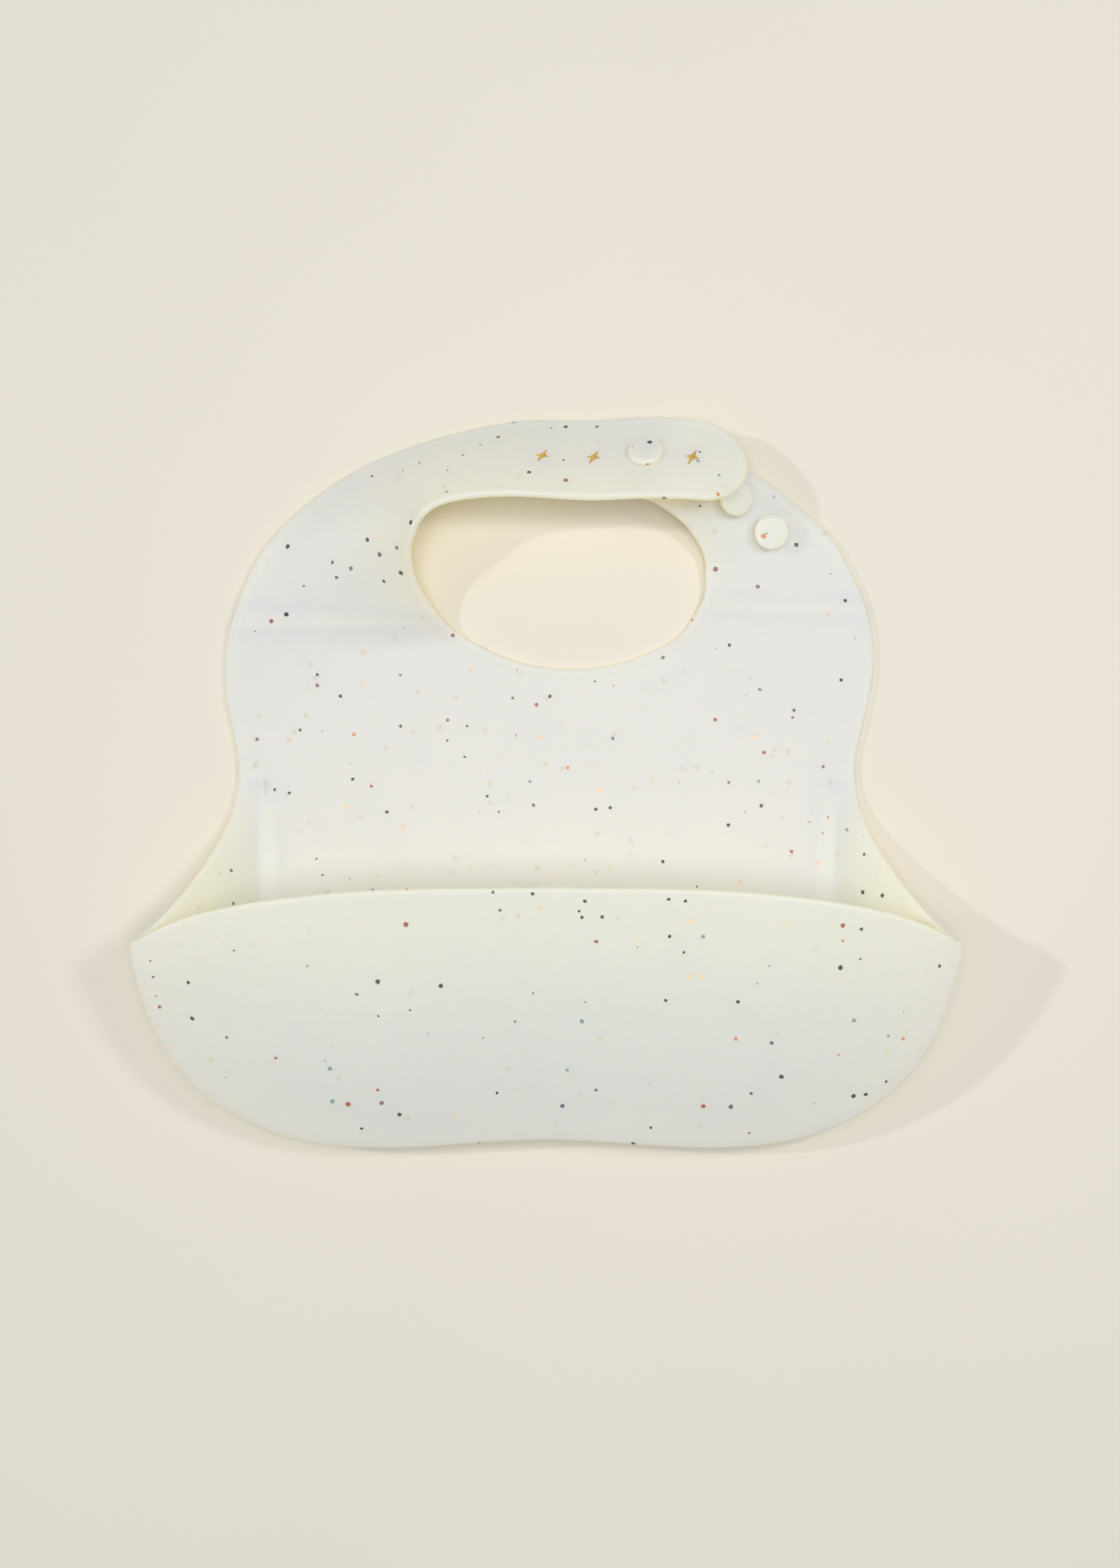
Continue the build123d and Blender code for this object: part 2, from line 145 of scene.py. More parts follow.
MARGIN_ROWS = (6.0, 1.6)         # rows of the back sheet's margin, this far inside the wall
WALL_ROWS = len(MARGIN_ROWS) + len(WALL_SHARES)
POCKET_CENTRE = (0.0, -55.0)
INWARD_PULL = (0.9, 1.2)         # the rim's inward direction, along x and y


# ---- Curves and surfaces -------------------------------------------------------------------------
def curve(points, places, lead=None):
    """Smooth curve through the points, at fractional point numbers."""
    points = np.array(points, float)
    before = 2 * points[0] - points[1] if lead is None else np.array(lead, float)
    after = 2 * points[-1] - points[-2]
    padded = np.vstack([before, points, after])
    places = np.clip(np.atleast_1d(places).astype(float), 0, len(points) - 1)
    low = np.minimum(places.astype(int), len(points) - 2)
    t = (places - low)[:, None]
    a, b, c, d = (padded[low + k] for k in range(4))
    return 0.5 * (2 * b + (c - a) * t + (2 * a - 5 * b + 4 * c - d) * t ** 2
                  + (3 * b - a - 3 * c + d) * t ** 3)


def unit(vectors):
    return vectors / np.linalg.norm(vectors, axis=-1, keepdims=True)


def smoothstep(low, high, value):
    t = np.clip((value - low) / (high - low), 0, 1)
    return t * t * (3 - 2 * t)


def across(width, inner):
    """Distances across a strip from edge to edge, close together at both edges."""
    steps = np.array(EDGE_STEPS)
    steps = steps * min(1.0, 0.42 * width / steps[-1])
    middle = np.linspace(steps[-1], width - steps[-1], inner + 2)[1:-1]
    return np.concatenate([steps, middle, (width - steps)[::-1]])


def arc_through(first, middle, last, count):
    """Points of the circular arc through three plan points."""
    (ax, ay), (bx, by), (cx, cy) = first, middle, last
    d = 2 * (ax * (by - cy) + bx * (cy - ay) + cx * (ay - by))
    ux = ((ax ** 2 + ay ** 2) * (by - cy) + (bx ** 2 + by ** 2) * (cy - ay)
          + (cx ** 2 + cy ** 2) * (ay - by)) / d
    uy = ((ax ** 2 + ay ** 2) * (cx - bx) + (bx ** 2 + by ** 2) * (ax - cx)
          + (cx ** 2 + cy ** 2) * (bx - ax)) / d
    radius = sqrt((ax - ux) ** 2 + (ay - uy) ** 2)
    start, end = atan2(ay - uy, ax - ux), atan2(cy - uy, cx - ux)
    middle_angle = atan2(by - uy, bx - ux)
    if not min(start, end) < middle_angle < max(start, end):
        if start < end:
            start += 2 * pi
        else:
            end += 2 * pi
    angles = np.linspace(start, end, count)
    return np.stack([ux + radius * np.cos(angles), uy + radius * np.sin(angles)], 1)


def distance_to(points, path):
    """Distance of each point from an open path."""
    best = np.full(len(points), 1e9)
    for a, b in zip(path[:-1], path[1:]):
        run = b - a
        length = run @ run
        if length < 1e-12:
            continue
        t = np.clip(((points - a) @ run) / length, 0, 1)
        gap = points - a - t[:, None] * run
        best = np.minimum(best, np.sqrt((gap * gap).sum(1)))
    return best


class Surface:
    """Middle surface of a piece: patches of quads, welded where they meet."""

    def __init__(self):
        self.verts = []
        self.faces = []

    def patch(self, grid):
        """Adds a grid of points with shape rows, columns, 3."""
        rows, columns = grid.shape[:2]
        first = len(self.verts)
        self.verts.extend(grid.reshape(-1, 3).tolist())
        for r in range(rows - 1):
            for c in range(columns - 1):
                a = first + r * columns + c
                self.faces.append((a, a + 1, a + columns + 1, a + columns))

    def mesh(self, name, levels=0):
        """Blender mesh of the middle surface, in millimetres, subdivided if asked."""
        bm = bmesh.new()
        verts = [bm.verts.new(v) for v in self.verts]
        for face in self.faces:
            bm.faces.new([verts[i] for i in face])
        bmesh.ops.remove_doubles(bm, verts=bm.verts, dist=0.01)
        bmesh.ops.dissolve_degenerate(bm, edges=bm.edges, dist=0.005)
        bmesh.ops.recalc_face_normals(bm, faces=bm.faces)
        mesh = bpy.data.meshes.new(name)
        bm.to_mesh(mesh)
        bm.free()
        if levels:
            mesh = modified(mesh, "SUBSURF", levels=levels, render_levels=levels,
                            boundary_smooth="ALL")
        return mesh


def modified(mesh, kind, **settings):
    """New mesh: the given one with a modifier applied."""
    obj = bpy.data.objects.new("working", mesh)
    bpy.context.scene.collection.objects.link(obj)
    modifier = obj.modifiers.new("step", kind)
    for key, value in settings.items():
        setattr(modifier, key, value)
    graph = bpy.context.evaluated_depsgraph_get()
    result = bpy.data.meshes.new_from_object(obj.evaluated_get(graph))
    bpy.data.objects.remove(obj)
    return result


def read(mesh):
    co = np.zeros(len(mesh.vertices) * 3)
    mesh.vertices.foreach_get("co", co)
    return co.reshape(-1, 3)


def directed_border(bm):
    """Border edges as pairs of vertex numbers, in the direction that their face runs."""
    pairs = []
    for edge in bm.edges:
        if len(edge.link_faces) == 1:
            order = [v.index for v in edge.link_faces[0].verts]
            a, b = (v.index for v in edge.verts)
            forward = order[(order.index(a) + 1) % len(order)] == b
            pairs.append((a, b) if forward else (b, a))
    return pairs


def thicken(mid, free_paths, up, bead=0.0):
    """Closed solid mesh round a middle surface, no part of it under the table.

    free_paths are the real edges; every other border is where the piece overlaps its neighbour.
    up is the direction that the bead side faces.
    """
    points = read(mid)
    bm = bmesh.new()
    bm.from_mesh(mid)
    bm.normal_update()
    normals = np.array([v.normal for v in bm.verts])
    faces = [[v.index for v in f.verts] for f in bm.faces]
    border = directed_border(bm)
    bm.free()
    if (normals @ np.array(up)).sum() < 0:
        normals = -normals
        faces = [f[::-1] for f in faces]
        border = [(b, a) for a, b in border]
    depth = np.full(len(points), 1e9)
    for path in free_paths:
        depth = np.minimum(depth, distance_to(points, path))
    open_depth = np.full(len(points), 1e9)
    for a, b in border:
        if max(depth[a], depth[b]) > 0.05:
            open_depth = np.minimum(open_depth, distance_to(points, points[[a, b]]))
    rounding = np.sqrt(1 - (1 - np.clip(depth / EDGE_ROUND, 0, 1)) ** 2)
    rounding[depth < 0.03] = 0.0
    raised = bead * (1 - smoothstep(BEAD_WIDTH, BEAD_WIDTH + BEAD_FALL, depth))
    sunk = TUCK * (1 - smoothstep(0, TUCK_RAMP, open_depth))
    top = points + normals * (rounding * (HALF + raised - sunk))[:, None]
    bottom = points - normals * (rounding * (HALF - sunk))[:, None]
    count = len(points)
    solid = faces + [[i + count for i in f[::-1]] for f in faces]
    solid += [[b, a, a + count, b + count] for a, b in border]
    bm = bmesh.new()
    verts = [bm.verts.new(v) for v in np.vstack([top, bottom])]
    for face in solid:
        bm.faces.new([verts[i] for i in face])
    bmesh.ops.remove_doubles(bm, verts=bm.verts, dist=0.004)
    bmesh.ops.dissolve_degenerate(bm, edges=bm.edges, dist=0.002)
    for v in bm.verts:
        if v.co.z < 0:
            v.co.z = 0.0
    mesh = bpy.data.meshes.new(mid.name)
    bm.to_mesh(mesh)
    bm.free()
    return mesh


# ---- Neck ring ---------------------------------------------------------------------------------
class Ring:
    """Sheet ruled between two smooth edges."""

    def __init__(self, sections, lead):
        self.outer = [s[0] for s in sections]
        self.neck = [s[1] for s in sections]
        self.lead = lead
        self.last = len(sections) - 1.0

    def edges(self, places):
        return curve(self.outer, places, self.lead[0]), curve(self.neck, places, self.lead[1])

    def middle(self, place):
        outer, neck = self.edges(np.array([place]))
        return (outer[0] + neck[0]) / 2

    def seat(self, place, shift=0.0):
        """Spot on the sheet, direction along it and its outward normal."""
        outer, neck = self.edges(np.array([place]))
        chord = unit(neck[0] - outer[0])
        along = self.middle(min(place + 0.05, self.last)) - self.middle(max(place - 0.05, 0))
        along = unit(along - chord * (along @ chord))
        normal = np.cross(along, chord)
        return self.middle(place) - chord * shift, along, normal if normal[2] > 0 else -normal

    def rows(self, first, last, step, tip=False):
        """Places along the strip about a step apart, closer at a round tip, and the width share."""
        fine = np.linspace(first, last, 800)
        outer, neck = self.edges(fine)
        mids = (outer + neck) / 2
        run = np.concatenate([[0], np.cumsum(np.linalg.norm(np.diff(mids, axis=0), axis=1))])
        if not tip:
            stations = np.linspace(0, run[-1], int(run[-1] / step) + 2)
            return np.interp(stations, run, fine), np.ones(len(stations))
        radius = np.linalg.norm(outer[-1] - neck[-1]) / 2
        straight = np.linspace(0, run[-1] - radius, int((run[-1] - radius) / step) + 2)[:-1]
        turn = np.linspace(pi / 2, 0, 30)
        round_end = run[-1] - radius + radius * np.cos(turn)
        stations = np.concatenate([straight, round_end])
        share = np.concatenate([np.ones(len(straight)), np.sin(turn)])
        return np.interp(stations, run, fine), share

    def grid(self, first, last, step=1.4, inner=16, tip=False):
        places, share = self.rows(first, last, step, tip)
        outer, neck = self.edges(places)
        middle = (outer + neck) / 2
        outer = middle + (outer - middle) * share[:, None]
        neck = middle + (neck - middle) * share[:, None]
        rows = []
        for a, b in zip(outer, neck):
            width = np.linalg.norm(b - a)
            if width < 1e-6:
                rows.append(np.repeat(a[None], 2 * len(EDGE_STEPS) + inner, 0))
            else:
                rows.append(a + (b - a) * (across(width, inner) / width)[:, None])
        return np.array(rows), outer, neck


left_ring = Ring(LEFT_SECTIONS, LEFT_LEAD)
right_ring = Ring(RIGHT_SECTIONS, RIGHT_LEAD)


def frame_matrix(origin, along, normal):
    """Matrix in metres whose x is along and z is the normal."""
    side = np.cross(normal, along)
    m = Matrix([[*v] for v in np.stack([along, side, normal], 1)]).to_4x4()
    m.translation = Vector(origin) * MM
    return m


def stud_seats():
    """Foot, direction and axis of each stud."""
    seats = []
    for number, (place, shift) in enumerate(zip(STUD_PLACES, STUD_SHIFTS)):
        origin, along, normal = right_ring.seat(place, shift)
        if STUD_LEANS[number]:
            above = left_ring.seat(HOLE_PLACES[BUTTONED_HOLE - 1 + number])[2]
            normal = unit(normal * (1 - STUD_LEANS[number]) + above * STUD_LEANS[number])
            along = unit(along - normal * (along @ normal))
        seats.append((origin, along, normal))
    return seats


# ---- Pieces --------------------------------------------------------------------------------------
def finish_piece(mesh, name, nodes, materials):
    """Turns a millimetre mesh into a shown piece with its rest place stored for the specks."""
    mesh.transform(Matrix.Scale(MM, 4))
    mesh.name = name
    for polygon in mesh.polygons:
        polygon.use_smooth = True
    place = mesh.attributes.new("rest_place", "FLOAT_VECTOR", "POINT")
    co = np.zeros(len(mesh.vertices) * 3, np.float32)
    mesh.vertices.foreach_get("co", co)
    place.data.foreach_set("vector", co)
    cut = [polygon.material_index for polygon in mesh.polygons]
    mesh.materials.clear()
    for material in materials:
        mesh.materials.append(material)
    mesh.polygons.foreach_set("material_index", cut)
    obj = bpy.data.objects.new(name, mesh)
    bpy.context.scene.collection.objects.link(obj)
    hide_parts(*nodes)
    return obj


def side_edge(waist_x, points, shoulder, share):
    """Side of the chest, from the shoulder at share 0 down to the waist at share 1."""
    outline = np.array([(waist_x, WAIST_Y), *points, shoulder])
    lead = (np.sign(waist_x) * SIDE_LEAD[0], SIDE_LEAD[1])
    edge = curve(outline, (1 - share) * (len(outline) - 1), lead)
    return np.column_stack([edge, np.full(len(edge), HALF)])


def back_rows(join):
    """Rows of the back sheet, from the waist line to its edge inside the foot of the pocket."""
    foot = foot_path()
    turn = np.interp(np.linspace(0, 1, len(join)), np.linspace(0, 1, len(foot)), np.arange(len(foot)))
    foot_row = curve(foot, turn)
    return np.array([join * (1 - s) + foot_row * s for s in np.linspace(0, 1, BACK_ROWS)])


def chest_and_back(materials):
    """Flat sheet from under the pocket to both shoulders."""
    left, left_outer, left_neck = left_ring.grid(0, SHOULDER_SEAM[1])
    right, right_outer, right_neck = right_ring.grid(0, SHOULDER_SEAM[1])
    arc = arc_through(left_ring.neck[0][:2], NECK_BOTTOM, right_ring.neck[0][:2], NECK_STEPS)
    arc = np.column_stack([arc, np.full(len(arc), HALF)])
    top = np.vstack([left[0], arc[1:-1], right[0][::-1]])
    down = np.concatenate([EDGE_STEPS[:-1], np.linspace(EDGE_STEPS[-1], CHEST_DEPTH, CHEST_ROWS)])
    share = down / down[-1]
    left_side = side_edge(-WAIST_HALF, LEFT_SIDE, left_ring.outer[0][:2], share)
    right_side = side_edge(WAIST_HALF, RIGHT_SIDE, right_ring.outer[0][:2], share)
    spread = (top[:, 0] - top[0, 0]) / (top[-1, 0] - top[0, 0])
    bottom_x = -WAIST_HALF + 2 * WAIST_HALF * spread
    bottom = np.column_stack([bottom_x, np.full(len(top), WAIST_Y), np.full(len(top), HALF)])
    chest = []
    for s, left_end, right_end in zip(share, left_side, right_side):
        line = top * (1 - s) + bottom * s
        shift_left = (left_end - line[0]) * (1 - spread)[:, None]
        shift_right = (right_end - line[-1]) * spread[:, None]
        chest.append(line + shift_left + shift_right)
    sheet = Surface()
    for rows in (left, right, np.array(chest), back_rows(bottom[np.abs(bottom_x) <= BACK_HALF])):
        sheet.patch(rows)
    free = [np.vstack([left_side[::-1], left_outer]), np.vstack([right_side[::-1], right_outer]),
            np.vstack([left_neck[::-1], arc, right_neck])]
    mesh = thicken(sheet.mesh("chest_sheet"), free, (0, 0, 1), BEAD_HEIGHT)
    obj = finish_piece(mesh, "chest_sheet",
                       ("back_panel", "chest_panel", "shoulder_left", "shoulder_right"), materials)
    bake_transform(obj)
    return obj


def ring_sheet(ring, first, last, name, tip=False):
    """Solid mesh of the ring between two places, with a round end if tip."""
    grid, outer, neck = ring.grid(first, last, step=1.1, inner=20, tip=tip)
    sheet = Surface()
    sheet.patch(grid)
    mid = sheet.mesh(name)
    free = [np.vstack([outer, neck[::-1]])] if tip else [outer, neck]
    return thicken(mid, free, ring.seat((first + last) / 2)[2], BEAD_HEIGHT)


def star_cutter(seat, arms, waist, narrows=1.0):
    """Tapered prism with the plan of a four-pointed slit, in millimetres."""
    origin, along, normal = seat
    bm = bmesh.new()
    side = np.cross(normal, along)
    rings = []
    for height, scale in ((-SLIT_REACH_OUT, narrows), (SLIT_REACH_OUT, 1.0)):
        ring = []
        for (turn, reach), (next_turn, _) in zip(arms, arms[1:] + ((arms[0][0] + 360, 0),)):
            for angle, length in ((turn, reach), ((turn + next_turn) / 2, waist)):
                ring.append(bm.verts.new(origin + along * scale * length * cos(radians(angle))
                                         + side * scale * length * sin(radians(angle)) + normal * height))
        rings.append(ring)
    bm.faces.new(rings[0][::-1])
    bm.faces.new(rings[1])
    for k in range(8):
        j = (k + 1) % 8
        bm.faces.new((rings[0][k], rings[0][j], rings[1][j], rings[1][k]))
    uprights = [e for e in bm.edges if len({v in rings[0] for v in e.verts}) == 2]
    bmesh.ops.bevel(bm, geom=uprights, offset=SLIT_ROUND, segments=3, affect="EDGES")
    # The cut faces take the second material, whose golden base colour is painted shade.
    for face in bm.faces:
        face.material_index = 1
    mesh = bpy.data.meshes.new("slit")
    bm.to_mesh(mesh)
    bm.free()
    return mesh


def buttonhole_strap(materials):
    mesh = ring_sheet(left_ring, STRAP_SEAM[0], left_ring.last, "buttonhole_strap", tip=True)
    for number, place in enumerate(HOLE_PLACES, start=1):
        if number == BUTTONED_HOLE:
            foot, along, normal = stud_seats()[0]
            seat = (left_ring.seat(place)[0], along, normal)
            stretched = tuple((turn, STRETCHED_REACH) for turn, _ in SLIT_ARMS)
            cutter = star_cutter(seat, stretched, STRETCHED_WAIST)
        else:
            cutter = star_cutter(left_ring.seat(place), SLIT_ARMS, SLIT_WAIST, SLIT_NARROWS)
        tool = bpy.data.objects.new("slit", cutter)
        bpy.context.scene.collection.objects.link(tool)
        mesh = modified(mesh, "BOOLEAN", object=tool, operation="DIFFERENCE", solver="EXACT")
        bpy.data.objects.remove(tool)
    obj = finish_piece(mesh, "buttonhole_strap", ("hole_strap", "buttonhole_web"), materials)
    mesh.set_sharp_from_angle(angle=radians(40))
    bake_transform(obj)
    return obj


def neck_band(materials):
    mesh = ring_sheet(left_ring, SHOULDER_SEAM[0], STRAP_SEAM[1], "neck_band_sheet")
    obj = finish_piece(mesh, "neck_band_sheet", ("neck_band",), materials)
    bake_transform(obj)
    return obj


def stud_strap(materials):
    mesh = ring_sheet(right_ring, SHOULDER_SEAM[0], right_ring.last, "stud_strap_sheet", tip=True)
    obj = finish_piece(mesh, "stud_strap_sheet", ("stud_strap",), materials)
    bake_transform(obj)
    return obj


# ---- Catch pocket ----------------------------------------------------------------------------------
def along_half(points):
    """Plan points from the right lip corner to the middle, closer together at the corner."""
    fine = curve(points, np.linspace(0, len(points) - 1, 400))
    run = np.concatenate([[0], np.cumsum(np.linalg.norm(np.diff(fine, axis=0), axis=1))])
    stations = np.concatenate([CORNER_STATIONS[:-1],
                               np.linspace(CORNER_STATIONS[-1], run[-1], RIM_STATIONS)])
    return np.column_stack([np.interp(stations, run, fine[:, 0]), np.interp(stations, run, fine[:, 1])])


def foot_of(plan):
    """Where the wall under a rim point meets the table."""
    x, y = plan
    corner_x, corner_y, _ = LIP_CORNER
    return np.array([x * CREASE_X / corner_x, corner_y + (y - corner_y) * FOOT_SHARE])


def foot_path():
    """Edge of the back sheet, from the left margin round the front to the right margin."""
    half = [np.array([BACK_HALF, y]) for y in (-8.0, -20.0, -32.0)]
    half += [foot_of(p) for p in along_half(RIM)]
    half = [p - unit(p - np.array(FOOT_CENTRE)) * FOOT_INSET for p in half]
    right = [(x, y, HALF) for x, y in half]
    left = [(-x, y, z) for x, y, z in right]
    return np.array(left[:-1] + right[::-1])


def rim_height(y):
    """The rim falls from the lip corners to the front."""
    return LIP_CORNER[2] + RIM_SLOPE * (y - LIP_CORNER[1])


def pocket_columns():
    """Control points of one half, a list of rows from the back sheet to the lip for each station."""
    columns = []
    for edge, crease in zip(WING_EDGE, WING_CREASE):
        edge, crease = np.array(edge), np.array([*crease, HALF])
        columns.append(wall_rows(crease, edge, np.array([-1.0, 0.0, 0.0])))
    rim = along_half(RIM)
    lip_points = along_half(LIP)
    for k, plan in enumerate(rim):
        foot = np.array([*foot_of(plan), HALF])
        inward = unit(np.append((np.array(POCKET_CENTRE) - plan) * INWARD_PULL, 0.0))
        edge = np.array([*plan, rim_height(plan[1])]) - inward * RIM_PUSH * min(1.0, k / 3)
        rows = wall_rows(foot, edge, inward)
        if k > 0:
            lip = lip_points[k]
            for share in ROOF_SHARES:
                spot = edge[:2] * (1 - share) + lip * share
                away = min(np.linalg.norm(rim - spot, axis=1))
                rise = CROWN * (1 - (1 - min(away / CROWN_REACH, 1.0)) ** 2)
                rows.append(np.array([*spot, rim_height(spot[1]) + rise]))
        columns.append(rows)
    return columns


def wall_rows(foot, edge, inward):
    """Rows of the back sheet's margin and the wall, up to its edge."""
    rows = [foot + inward * distance for distance in MARGIN_ROWS]
    for share in WALL_SHARES:
        rows.append(foot * (1 - share) + edge * share)
    return rows


def pocket(materials):
    """Pocket shell with both wings."""
    columns = pocket_columns()
    mirror = np.array([-1.0, 1.0, 1.0])
    whole = columns + [[p * mirror for p in c] for c in columns[-2::-1]]
    sheet = Surface()
    sheet.patch(np.array([column[:WALL_ROWS] for column in whole]))
    roof = []
    for column in whole[len(WING_EDGE):-len(WING_EDGE)]:
        if len(column) == WALL_ROWS:
            roof.append([column[-1]] * (1 + len(ROOF_SHARES)))
        else:
            roof.append(column[WALL_ROWS - 1:])
    sheet.patch(np.array(roof))
    mid = sheet.mesh("pocket_shell", levels=3)
    mesh = thicken(mid, border_paths(mid), (0, 0, 1))
    obj = finish_piece(mesh, "pocket_shell",
                       ("pocket_front", "pocket_side_wall", "wing_left", "wing_right"), materials)
    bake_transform(obj)
    return obj


def border_paths(mid):
    """Border edges of the pocket's middle surface that are real edges: the wings' and the lip's."""
    co = read(mid)
    bm = bmesh.new()
    bm.from_mesh(mid)
    paths = []
    for e in bm.edges:
        if len(e.link_faces) != 1:
            continue
        a, b = (co[v.index] for v in e.verts)
        middle = (a + b) / 2
        raised = middle[2] > HALF + 0.4
        along_edge = abs(middle[0]) > WAIST_HALF - 1.2 and abs((b - a)[1]) > abs((b - a)[0])
        if raised or along_edge:
            paths.append(np.array([a, b]))
    bm.free()
    return paths


def stud(number, seat, materials):
    """Mushroom stud, spun about its axis."""
    bm = bmesh.new()
    profile = curve([(r, 0.0, z) for r, z in STUD_OUTLINE], np.linspace(0, len(STUD_OUTLINE) - 1, 50))
    verts = [bm.verts.new(p) for p in profile]
    edges = [bm.edges.new(pair) for pair in zip(verts[:-1], verts[1:])]
    bmesh.ops.spin(bm, geom=verts + edges, cent=(0, 0, 0), axis=(0, 0, 1), angle=2 * pi, steps=56,
                   use_merge=True)
    bmesh.ops.remove_doubles(bm, verts=bm.verts, dist=0.01)
    bmesh.ops.holes_fill(bm, edges=bm.edges)
    bmesh.ops.recalc_face_normals(bm, faces=bm.faces)
    mesh = bpy.data.meshes.new("stud")
    bm.to_mesh(mesh)
    bm.free()
    origin, along, normal = seat
    placing = frame_matrix(origin + normal * HALF, along, normal)
    placing.translation = placing.translation / MM
    mesh.transform(placing)
    obj = finish_piece(mesh, f"stud_button_{number}", (f"stud_{number}",), materials)
    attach(obj, "neck_loop")
    return obj


# ---- Materials -------------------------------------------------------------------------------------
class Nodes:
    """Short way to write a material's nodes."""

    def __init__(self, name):
        self.material = bpy.data.materials.new(name)
        self.material.use_nodes = True
        self.tree = self.material.node_tree
        self.tree.nodes.clear()

    def add(self, kind, settings=None, **inputs):
        node = self.tree.nodes.new(kind)
        for key, value in (settings or {}).items():
            setattr(node, key, value)
        for key, value in inputs.items():
            name = key.replace("_", " ")
            socket = node.inputs[int(key[1:])] if key[0] == "i" and key[1:].isdigit() else node.inputs[name]
            if isinstance(value, bpy.types.NodeSocket):
                self.tree.links.new(value, socket)
            else:
                socket.default_value = value
        return node

    def math(self, operation, a, b=0.0):
        return self.add("ShaderNodeMath", {"operation": operation}, i0=a, i1=b).outputs[0]

    def mix(self, share, a, b):
        node = self.add("ShaderNodeMix", {"data_type": "RGBA"})
        for value, socket in ((share, node.inputs[0]), (a, node.inputs[6]), (b, node.inputs[7])):
            if isinstance(value, bpy.types.NodeSocket):
                self.tree.links.new(value, socket)
            else:
                socket.default_value = value
        return node.outputs[2]


CHIP_COLOURS = [(0.00, (0.010, 0.012, 0.016)), (0.28, (0.03, 0.05, 0.08)), (0.48, (0.10, 0.15, 0.20)),
                (0.62, (0.42, 0.09, 0.04)), (0.74, (0.72, 0.28, 0.10)), (0.82, (0.30, 0.14, 0.17)),
                (0.90, (0.25, 0.36, 0.42))]
FAINT_COLOURS = [(0.00, (0.30, 0.38, 0.45)), (0.48, (0.34, 0.47, 0.48)), (0.70, (0.48, 0.36, 0.42)),
                 (0.86, (0.75, 0.45, 0.32))]


def specks(n, place, cell, presence, small, large, blur, colours, shift):
    """Chips scattered in the silicone: (cover, colour)."""
    moved = n.add("ShaderNodeVectorMath", {"operation": "ADD"}, i0=place, i1=shift).outputs[0]
    wobble = n.add("ShaderNodeTexNoise", Vector=moved, Scale=1400.0, Detail=1.0).outputs["Color"]
    bend = n.add("ShaderNodeVectorMath", {"operation": "MULTIPLY_ADD"}, i0=wobble,
                 i1=(0.0005, 0.0005, 0.0005), i2=moved).outputs[0]
    cells = n.add("ShaderNodeTexVoronoi", {"voronoi_dimensions": "3D", "feature": "F1"}, Vector=bend,
                  Scale=1 / (cell * MM), Randomness=1.0)
    parts = n.add("ShaderNodeSeparateColor", Color=cells.outputs["Color"])
    size = n.add("ShaderNodeMapRange", Value=parts.outputs[2], To_Min=small / cell, To_Max=large / cell)
    inner = n.math("MULTIPLY", size.outputs[0], 1 - blur)
    disc = n.add("ShaderNodeMapRange", {"interpolation_type": "SMOOTHSTEP"}, Value=cells.outputs["Distance"],
                 From_Min=inner, From_Max=size.outputs[0], To_Min=1.0, To_Max=0.0)
    present = n.math("LESS_THAN", parts.outputs[0], presence)
    cover = n.math("MULTIPLY", disc.outputs[0], present)
    ramp = n.add("ShaderNodeValToRGB", Fac=parts.outputs[1])
    ramp.color_ramp.interpolation = "CONSTANT"
    for index, (position, colour) in enumerate(colours):
        if index < 2:
            stop = ramp.color_ramp.elements[index]
            stop.position = position
        else:
            stop = ramp.color_ramp.elements.new(position)
        stop.color = (*colour, 1.0)
    return cover, ramp.outputs[0]


def speckled_silicone():
    """Milky silicone: it scatters cool white light back and lets warm light through."""
    n = Nodes("speckled_silicone")
    place = n.add("ShaderNodeAttribute", {"attribute_name": "rest_place"}).outputs["Vector"]
    cloud = n.add("ShaderNodeTexNoise", Vector=place, Scale=28.0, Detail=3.0).outputs["Fac"]
    base = n.mix(cloud, (0.41, 0.525, 0.715, 1.0), (0.44, 0.55, 0.735, 1.0))
    faint, faint_colour = specks(n, place, 5.2, 0.66, 0.5, 1.25, 0.6, FAINT_COLOURS, (0.31, 0.12, 0.07))
    base = n.mix(n.math("MULTIPLY", faint, 0.55), base, faint_colour)
    chip, chip_colour = specks(n, place, 4.8, 0.50, 0.42, 0.92, 0.3, CHIP_COLOURS, (0.37, 0.19, 0.23))
    base = n.mix(n.math("MULTIPLY", chip, 0.93), base, chip_colour)
    grain = n.add("ShaderNodeTexNoise", Vector=place, Scale=2600.0, Detail=2.0).outputs["Fac"]
    rough = n.add("ShaderNodeMapRange", Value=grain, To_Min=0.44, To_Max=0.56).outputs[0]
    bump = n.add("ShaderNodeBump", Strength=0.12, Distance=0.0001, Height=grain).outputs[0]
    shader = n.add("ShaderNodeBsdfPrincipled", Base_Color=base, Roughness=rough, Normal=bump)
    shader.inputs["Subsurface Weight"].default_value = 0.5
    shader.inputs["Subsurface Radius"].default_value = (1.0, 0.62, 0.34)
    shader.inputs["Subsurface Scale"].default_value = 1.2 * MM
    shader.inputs["IOR"].default_value = 1.42
    clear = n.math("SUBTRACT", 1.0, n.math("MULTIPLY", chip, 0.85))
    through = n.mix(clear, (0.0, 0.0, 0.0, 1.0), (0.56, 0.45, 0.13, 1.0))
    glow = n.add("ShaderNodeBsdfTranslucent", Color=through, Normal=bump)
    both = n.add("ShaderNodeAddShader", i0=shader.outputs[0], i1=glow.outputs[0])
    n.add("ShaderNodeOutputMaterial", Surface=both.outputs[0])
    return n.material


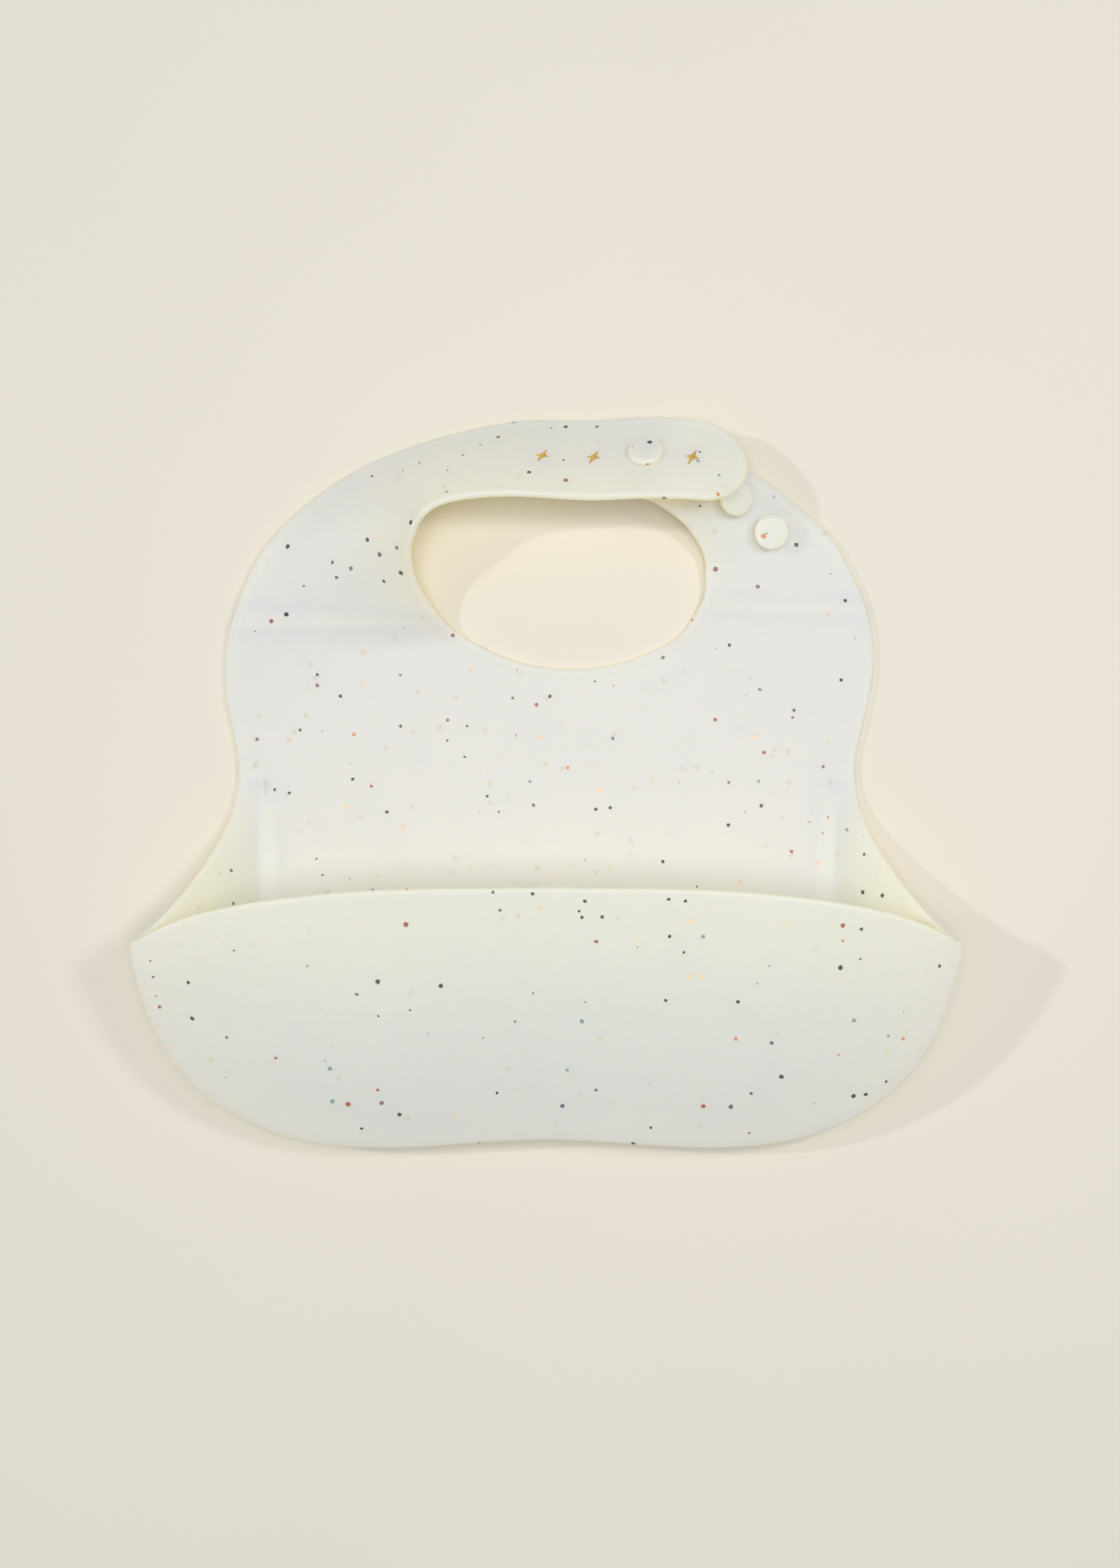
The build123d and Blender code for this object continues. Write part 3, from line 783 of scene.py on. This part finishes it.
def slit_painted_shade_silicone():
    """Inside of a slit: its darker golden base colour is painted shade, standing in for the warm shade seen
    down the slit; it also lets warm light through.
    """
    n = Nodes("slit_painted_shade_silicone")
    place = n.add("ShaderNodeAttribute", {"attribute_name": "rest_place"}).outputs["Vector"]
    cloud = n.add("ShaderNodeTexNoise", Vector=place, Scale=900.0, Detail=2.0).outputs["Fac"]
    # Painted shade: darker golden colour on the slit walls, a little uneven.
    base = n.mix(cloud, (0.44, 0.34, 0.15, 1.0), (0.50, 0.39, 0.18, 1.0))
    shader = n.add("ShaderNodeBsdfPrincipled", Base_Color=base)
    shader.inputs["Roughness"].default_value = 0.6
    glow = n.add("ShaderNodeBsdfTranslucent", Color=(0.31, 0.235, 0.10, 1.0))
    both = n.add("ShaderNodeAddShader", i0=shader.outputs[0], i1=glow.outputs[0])
    n.add("ShaderNodeOutputMaterial", Surface=both.outputs[0])
    return n.material


def table_paint():
    n = Nodes("table_paint")
    where = n.add("ShaderNodeTexCoord").outputs["Object"]
    cloud = n.add("ShaderNodeTexNoise", Vector=where, Scale=9.0, Detail=2.0).outputs["Fac"]
    colour = n.mix(cloud, (0.77, 0.745, 0.675, 1.0), (0.79, 0.765, 0.695, 1.0))
    shader = n.add("ShaderNodeBsdfPrincipled", Base_Color=colour)
    shader.inputs["Roughness"].default_value = 0.75
    shader.inputs["Specular IOR Level"].default_value = 0.2
    n.add("ShaderNodeOutputMaterial", Surface=shader.outputs[0])
    return n.material


# ---- Stage -----------------------------------------------------------------------------------------
CAMERA_SPOT = (0.00387, 0.0007, 0.6)
VIEW_HEIGHT = 0.4626             # height of the table that the picture takes in
SENSOR = 36.0
TABLE_SIZE = 6.0
TABLE_DROP = 0.1 * MM            # keeps the table just clear of the bib's flat back


def table_top():
    bm = bmesh.new()
    bmesh.ops.create_grid(bm, x_segments=8, y_segments=8, size=TABLE_SIZE)
    mesh = bpy.data.meshes.new("table_top")
    bm.to_mesh(mesh)
    bm.free()
    mesh.materials.append(table_paint())
    table = bpy.data.objects.new("table_top", mesh)
    table.location.z = -TABLE_DROP
    bpy.context.scene.collection.objects.link(table)


def area_light(name, azimuth, elevation, distance, size, power, colour):
    """Square light aimed at the bib; azimuth is counted from +X towards +Y."""
    a, e = radians(azimuth), radians(elevation)
    towards = Vector((cos(a) * cos(e), sin(a) * cos(e), sin(e)))
    data = bpy.data.lights.new(name, "AREA")
    data.size = size
    data.energy = power
    data.color = colour
    light = bpy.data.objects.new(name, data)
    light.location = towards * distance
    light.rotation_euler = towards.to_track_quat("Z", "Y").to_euler()
    bpy.context.scene.collection.objects.link(light)


def studio():
    world = bpy.data.worlds.new("studio")
    world.use_nodes = True
    background = world.node_tree.nodes["Background"]
    background.inputs["Color"].default_value = (1.0, 0.985, 0.95, 1.0)
    background.inputs["Strength"].default_value = 0.29
    bpy.context.scene.world = world
    area_light("softbox", 90, 89, 1.5, 0.7, 11.2, (1.0, 0.99, 0.965))
    area_light("key", 22, 59, 0.8, 0.12, 1.12, (1.0, 0.95, 0.91))
    area_light("window", 167, 42, 1.8, 0.07, 5.2, (1.0, 0.99, 0.95))
    bpy.context.scene.view_settings.view_transform = "Standard"


def camera():
    data = bpy.data.cameras.new("camera")
    data.sensor_width = SENSOR
    data.lens = SENSOR * CAMERA_SPOT[2] / VIEW_HEIGHT
    data.clip_start = 0.01
    eye = bpy.data.objects.new("camera", data)
    eye.location = CAMERA_SPOT
    bpy.context.scene.collection.objects.link(eye)
    bpy.context.scene.camera = eye


# The second material paints a golden shade on the faces that a slit cut.
silicones = (speckled_silicone(), slit_painted_shade_silicone())   # the second is for faces that a slit cut
for build in (chest_and_back, pocket, neck_band, buttonhole_strap, stud_strap):
    build(silicones)
for number, seat in enumerate(stud_seats(), start=1):
    stud(number, seat, silicones)
table_top()
studio()
camera()
